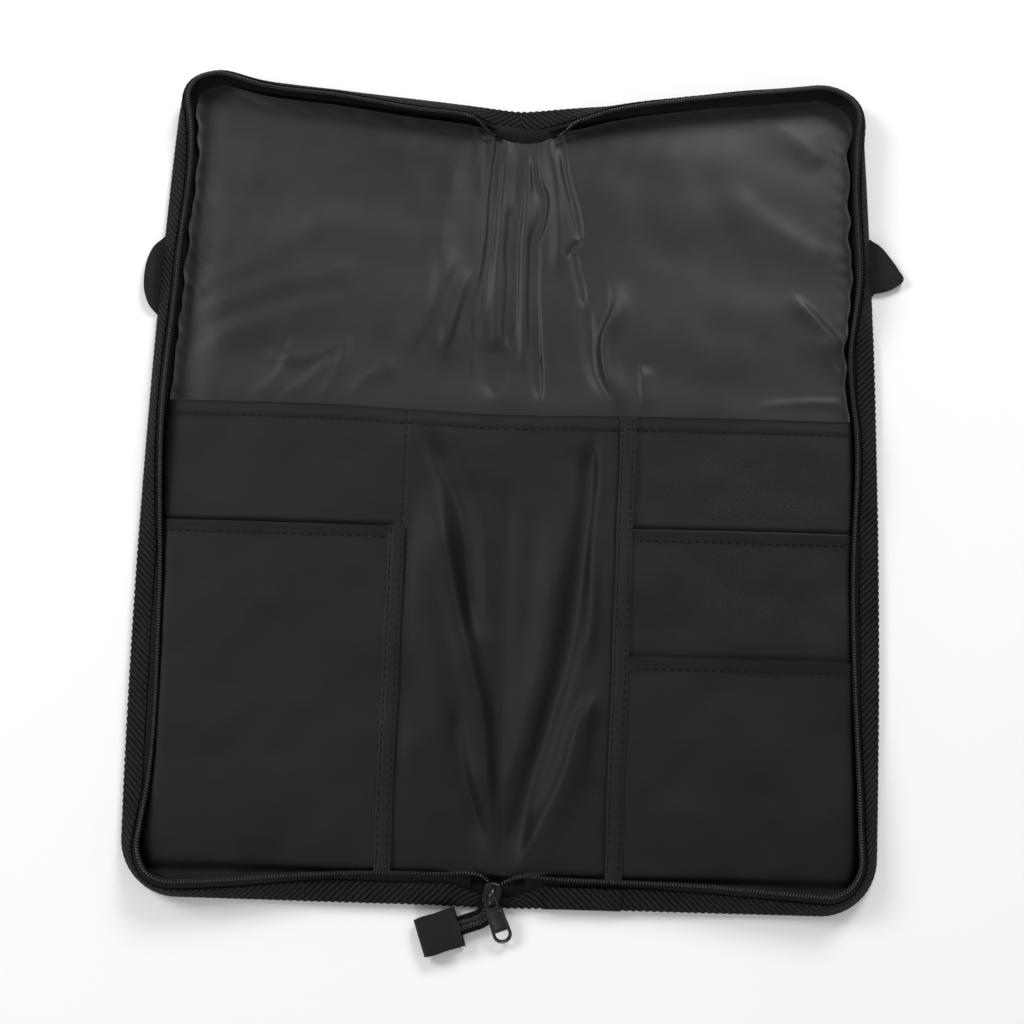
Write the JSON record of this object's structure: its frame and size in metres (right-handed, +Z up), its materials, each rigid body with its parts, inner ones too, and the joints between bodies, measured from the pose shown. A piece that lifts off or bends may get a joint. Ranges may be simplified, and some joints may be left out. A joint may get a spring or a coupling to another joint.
{
  "type": "portfolio case",
  "caption": "Soft black zip-round case lying open: padded panels on a spine strip, satin lining above, sewn flat pockets below, slider and pull at the foot of the spine, webbing handles.",
  "frame": {"origin": "middle of the flat underside of the spine", "axes": "+X across both panels to the right, +Y along the spine towards the end without the slider, +Z up out of the open case"},
  "size_m": [0.392, 0.4511, 0.0141],
  "materials": {
    "shell": "coated black polyester, fine plain weave",
    "foam": "thin closed foam sheet",
    "lining": "dark slate satin nylon with soft sheen",
    "pocket": "matt black woven polyester",
    "binding": "ribbed twill binding tape",
    "zipper_tape": "fine woven zipper tape",
    "zipper_coil": "nylon coil with stitch thread",
    "slider": "gloss black enamel",
    "webbing": "plain black webbing"
  },
  "bodies": {
    "spine": {"spine_shell": "shell", "spine_lining": "lining", "spine_pocket": "pocket", "spine_binding_top": "binding", "spine_binding_bottom": "binding", "top_stay_tape": "zipper_tape", "spine_zipper_tape": "zipper_tape", "spine_zipper_chain": "zipper_coil"},
    "left_panel": {"left_shell": "shell", "left_foam_padding": "foam", "left_lining": "lining", "left_binding": "binding", "left_zipper_tape": "zipper_tape", "left_zipper_coil": "zipper_coil", "left_main_pocket": "pocket", "left_handle_strap": "webbing", "left_front_pocket": "pocket", "left_pocket_tape": "pocket"},
    "right_panel": {"right_shell": "shell", "right_foam_padding": "foam", "right_lining": "lining", "right_binding": "binding", "right_zipper_tape": "zipper_tape", "right_zipper_coil": "zipper_coil", "right_main_pocket": "pocket", "right_handle_strap": "webbing", "right_binding_lap": "binding", "right_middle_pocket": "pocket", "right_front_pocket": "pocket", "right_pocket_tape": "pocket"},
    "slider": {"slider_body": "slider", "slider_crown": "slider"},
    "pull": {"pull_tab": "slider"},
    "tail": {"tail_tape": "zipper_tape", "tail_chain": "zipper_coil", "tail_end_tab": "webbing"},
    "left_handle": {"left_handle_bight": "webbing"},
    "right_handle": {"right_handle_bight": "webbing"}
  },
  "joints": [
    {"name": "left_panel_fold", "type": "hinge", "parent": "spine", "child": "left_panel", "pos_m": [-0.0155, 0, 0], "axis": [0, 1, 0], "range_deg": [0, 90]},
    {"name": "right_panel_fold", "type": "hinge", "parent": "spine", "child": "right_panel", "pos_m": [0.0155, 0, 0], "axis": [0, -1, 0], "range_deg": [0, 90]},
    {"name": "slider_slide", "type": "slide", "parent": "spine", "child": "slider", "axis": [-0.2581, -0.9633, -0.0732], "range_m": [0, 0.003]},
    {"name": "pull_swing", "type": "hinge", "parent": "slider", "child": "pull", "pos_m": [-0.00319, -0.20224, 0.01099], "axis": [-0.9357, -0.3503, -0.0426], "range_deg": [0, 105]},
    {"name": "tail_flex", "type": "hinge", "parent": "spine", "child": "tail", "pos_m": [-0.00989, -0.21228, 0.00639], "axis": [-0.3261, 0.9434, 0.0607], "range_deg": [0, 60]},
    {"name": "left_handle_fold", "type": "hinge", "parent": "left_panel", "child": "left_handle", "pos_m": [-0.1852, 0.1076, 0.0018], "axis": [0, 1, 0], "range_deg": [0, 90]},
    {"name": "right_handle_fold", "type": "hinge", "parent": "right_panel", "child": "right_handle", "pos_m": [0.18492, 0.121, 0.0018], "axis": [0, -1, 0], "range_deg": [0, 90]}
  ]
}
